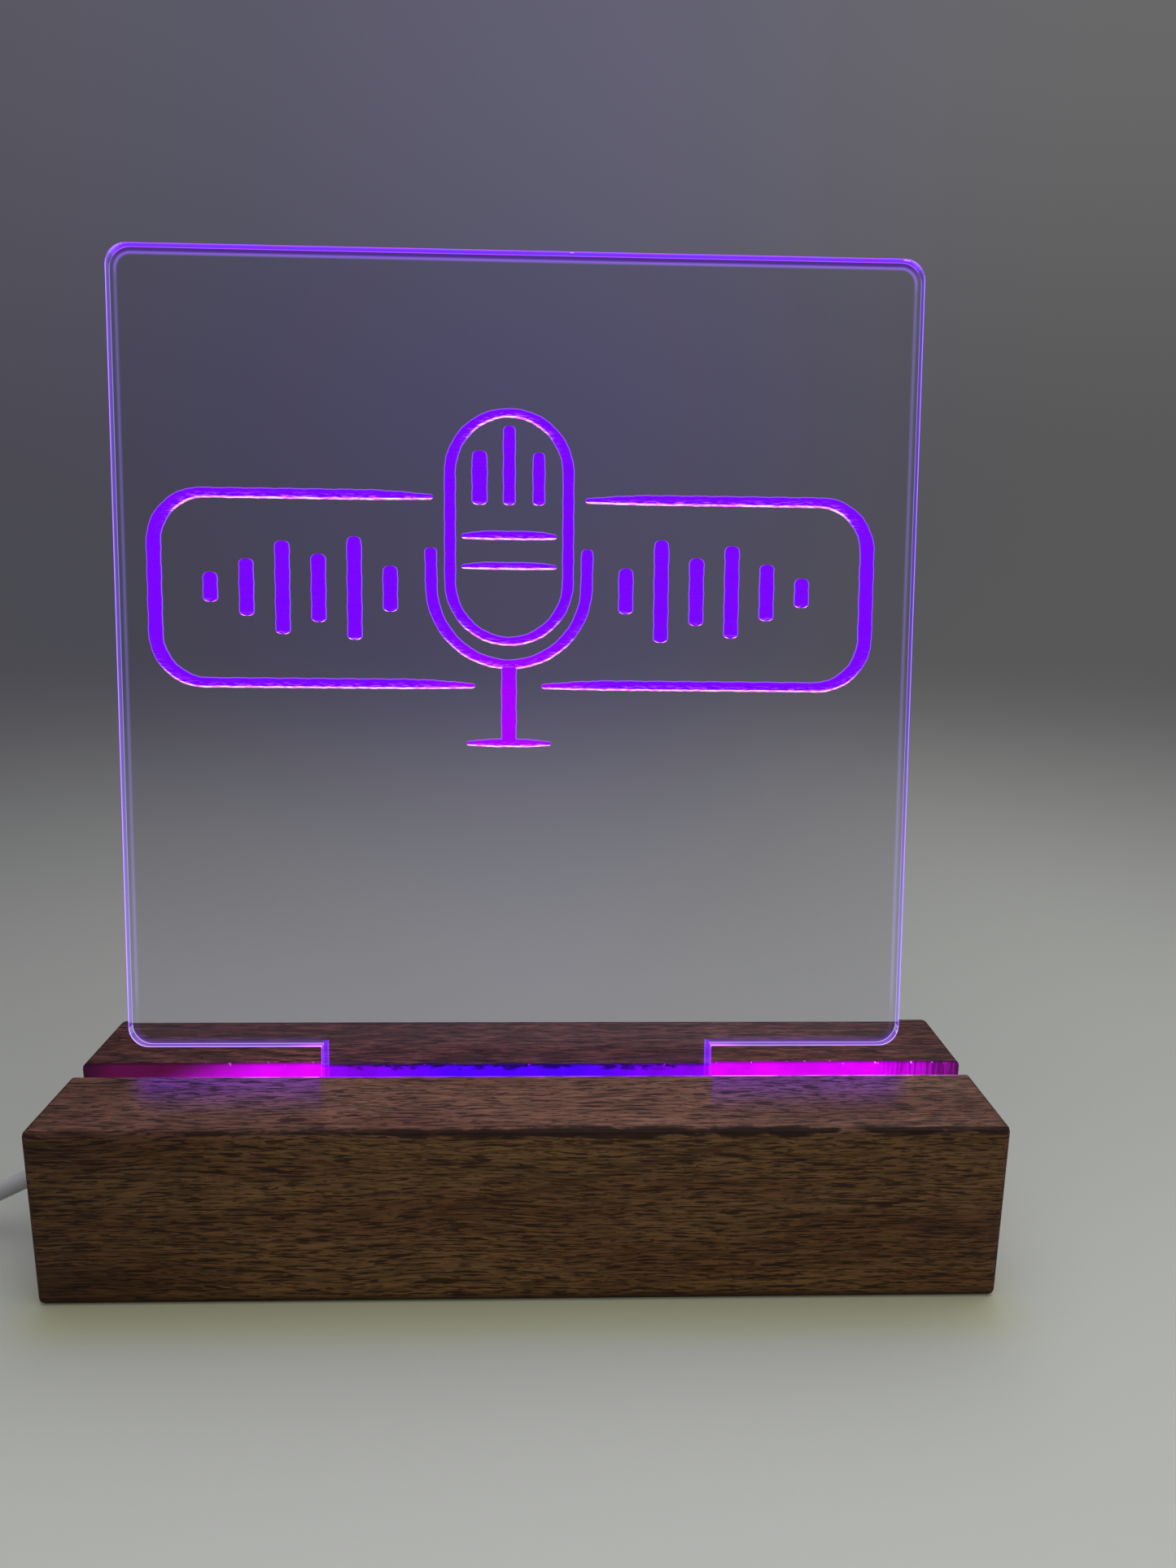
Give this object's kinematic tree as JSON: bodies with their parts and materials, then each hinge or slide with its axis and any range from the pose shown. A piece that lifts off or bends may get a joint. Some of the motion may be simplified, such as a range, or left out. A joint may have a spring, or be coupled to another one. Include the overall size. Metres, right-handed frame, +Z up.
{
  "type": "edge-lit acrylic desk sign",
  "caption": "Clear acrylic panel leaning in the groove of a wooden block, edge-lit from below by an LED strip, with a thin lead, in-line rocker switch and plug.",
  "frame": {"origin": "centre of the wooden base's underside", "axes": "+X along the base to the viewer's right, -Y to the front, +Z up"},
  "size_m": [0.2897, 0.0489, 0.1612],
  "materials": {
    "stained_beech": "walnut-stained beech, waxed",
    "clear_acrylic": "clear laser-cut acrylic sheet",
    "tape": "adhesive tape",
    "circuit_film": "white coated flexible circuit",
    "led_package": "white LED package",
    "resistor": "black chip resistor",
    "solder": "solder",
    "red_insulation": "wire insulation",
    "black_insulation": "wire insulation",
    "sleeve": "heat-shrink",
    "hot_melt": "hot-melt adhesive",
    "cord_jacket": "pale satin jacket",
    "switch_plastic": "moulded, satin",
    "rocker_plastic": "moulded, gloss",
    "contact_brass": "stamped brass",
    "plug_plastic": "moulded, satin",
    "plated_steel": "nickel plated, folded",
    "tongue_plastic": "moulded",
    "gold_plate": "gold plated"
  },
  "bodies": {
    "base": {"wood_base": "stained_beech", "strip_tape": "tape", "strip_circuit": "circuit_film", "led_chip_01": "led_package", "led_chip_02": "led_package", "led_chip_03": "led_package", "led_chip_04": "led_package", "led_chip_05": "led_package", "led_chip_06": "led_package", "led_chip_07": "led_package", "led_chip_08": "led_package", "led_chip_09": "led_package", "led_chip_10": "led_package", "led_chip_11": "led_package", "led_chip_12": "led_package", "strip_resistor_1": "resistor", "strip_resistor_2": "resistor", "strip_resistor_3": "resistor", "strip_resistor_4": "resistor", "solder_joint_red": "solder", "solder_joint_black": "solder", "core_red": "red_insulation", "core_black": "black_insulation", "shrink_sleeve": "sleeve", "cord_anchor": "hot_melt", "cord_run": "cord_jacket", "cord_coil": "cord_jacket", "cord_tail": "cord_jacket", "cord_end": "cord_jacket", "switch_case_lower": "switch_plastic", "switch_case_upper": "switch_plastic", "switch_terminal_in": "contact_brass", "switch_terminal_out": "contact_brass", "switch_core_in": "red_insulation", "switch_core_out": "red_insulation", "switch_core_through": "black_insulation", "plug_grip": "plug_plastic", "plug_shell": "plated_steel", "plug_tongue": "tongue_plastic", "plug_contact_1": "gold_plate", "plug_contact_2": "gold_plate", "plug_contact_3": "gold_plate", "plug_contact_4": "gold_plate"},
    "panel": {"acrylic_panel": "clear_acrylic"},
    "rocker": {"switch_rocker": "rocker_plastic", "switch_bridge": "contact_brass"}
  },
  "joints": [
    {"name": "panel_lift", "type": "slide", "parent": "base", "child": "panel", "axis": [0, 0.1201, 0.9928], "range_m": [0, 0.04]},
    {"name": "switch_tilt", "type": "hinge", "parent": "base", "child": "rocker", "pos_m": [-0.182, 0.004, 0.008], "axis": [0, 1, 0], "range_deg": [0, 18]}
  ]
}
